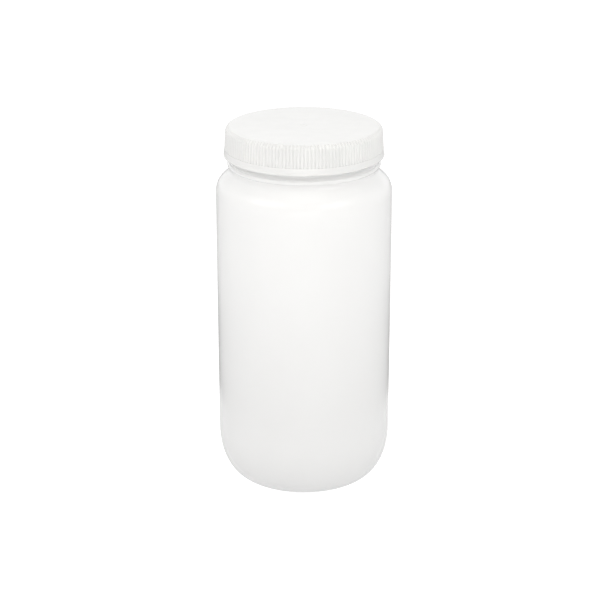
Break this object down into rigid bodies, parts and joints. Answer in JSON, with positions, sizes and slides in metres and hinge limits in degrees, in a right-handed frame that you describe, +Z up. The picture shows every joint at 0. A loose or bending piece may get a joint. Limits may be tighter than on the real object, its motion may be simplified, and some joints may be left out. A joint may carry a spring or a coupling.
{
  "type": "wide-mouth screw-cap reagent bottle",
  "caption": "Half-litre wide-mouth round bottle in translucent plastic, with a rounded base, a beaded threaded neck and a white ribbed screw cap with a foam liner.",
  "frame": {"origin": "on the bottle's axis, in the plane that its base ring stands on", "axes": "+Z up along the bottle's axis towards the cap; the bottle is round, so +X is the side where its thread's lower end starts"},
  "size_m": [0.075, 0.075, 0.1577],
  "materials": {
    "natural_plastic": "translucent natural polypropylene, soft satin",
    "white_plastic": "opaque white polypropylene, satin",
    "white_foam": "closed-cell foam disc, matt"
  },
  "bodies": {
    "bottle": {"bottle": "natural_plastic"},
    "liner": {"liner": "white_foam"},
    "cap": {"cap": "white_plastic"}
  },
  "joints": [
    {"name": "cap_rise", "type": "slide", "parent": "bottle", "child": "liner", "axis": [0, 0, 1], "range_m": [0, 0.0127]},
    {"name": "cap_turn", "type": "hinge", "parent": "liner", "child": "cap", "pos_m": [0, 0, 0.1559], "axis": [0, 0, 1], "range_deg": [0, 1080]}
  ],
  "couplings": [
    {"joint": "cap_rise", "follows": "cap_turn", "m_per_rad": 0.00067375}
  ]
}
